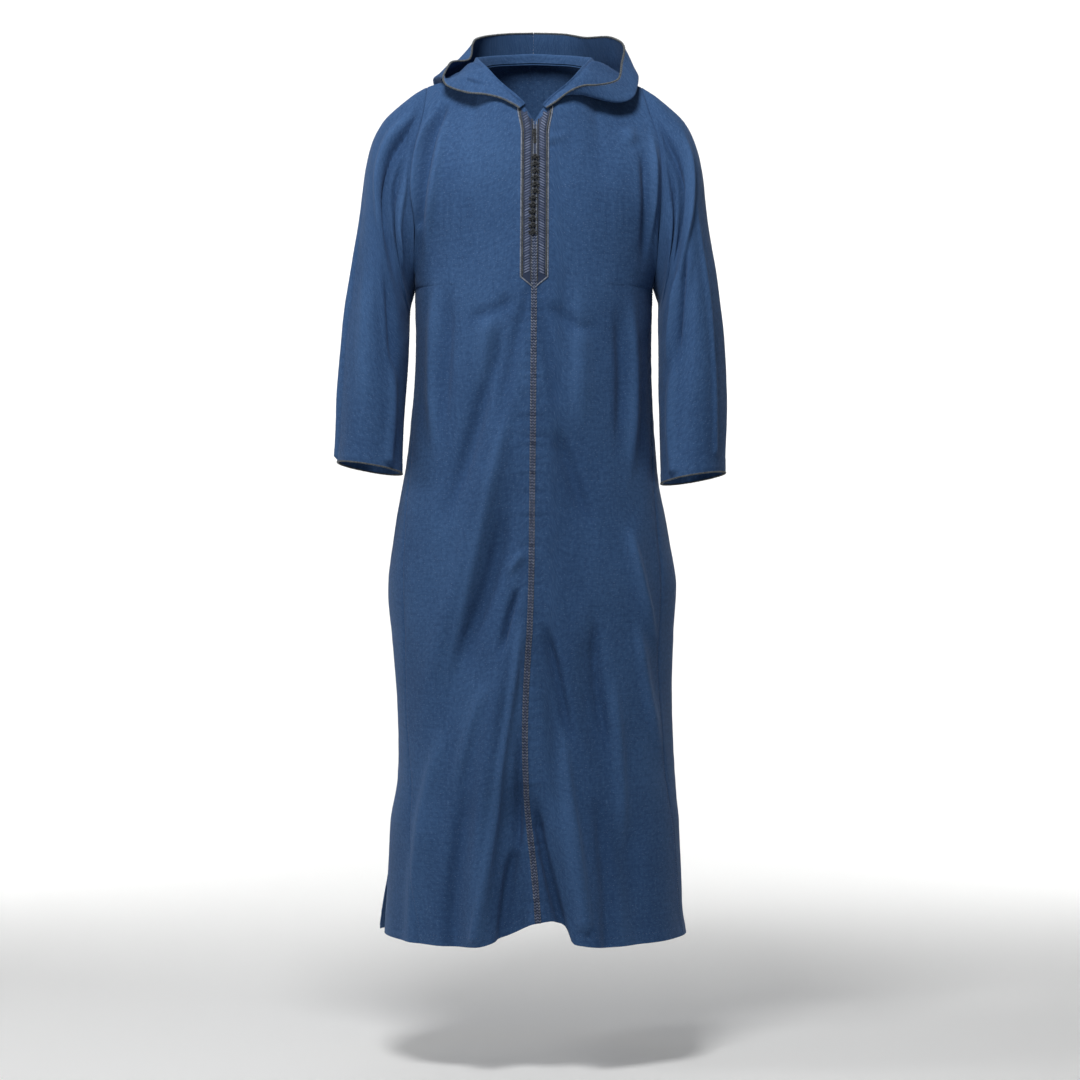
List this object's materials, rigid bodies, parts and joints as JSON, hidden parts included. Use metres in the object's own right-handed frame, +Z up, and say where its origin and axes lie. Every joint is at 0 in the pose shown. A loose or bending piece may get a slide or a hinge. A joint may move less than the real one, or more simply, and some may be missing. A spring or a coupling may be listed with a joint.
{
  "type": "djellaba robe",
  "caption": "Long hooded robe with wide sleeves, a braided front opening with knotted buttons, side gores and side vents, held as worn.",
  "frame": {"origin": "level with the tops of the shoulders, midway between them, where the wearer holds the robe up", "axes": "+Z up, the robe faces -Y, +X is the wearer's left"},
  "size_m": [0.6142, 0.3673, 1.4656],
  "materials": {
    "cloth": "brushed twill, matte, blue",
    "embroidery": "satin stitch, blue-grey",
    "braid": "hand braid, beige and lavender-grey on navy",
    "knots": "knotted cord, charcoal",
    "edge_cord": "whipped cord, olive grey"
  },
  "bodies": {
    "root": {"front_right": "cloth", "front_left": "cloth", "side_gore_right": "cloth", "side_gore_left": "cloth", "back": "cloth", "sleeve_right": "cloth", "sleeve_left": "cloth", "hood_right": "cloth", "hood_left": "cloth", "placket_band_right": "embroidery", "placket_band_left": "embroidery", "placket_strip": "embroidery", "front_braid": "braid", "hood_edge_cord_right": "edge_cord", "hood_edge_cord_left": "edge_cord", "cuff_cord_right": "edge_cord", "cuff_cord_left": "edge_cord", "knot_button_01": "knots", "knot_button_02": "knots", "knot_button_03": "knots", "knot_button_04": "knots", "knot_button_05": "knots", "knot_button_06": "knots", "knot_button_07": "knots", "knot_button_08": "knots", "knot_button_09": "knots", "knot_button_10": "knots", "knot_button_11": "knots", "knot_button_12": "knots"}
  },
  "joints": []
}
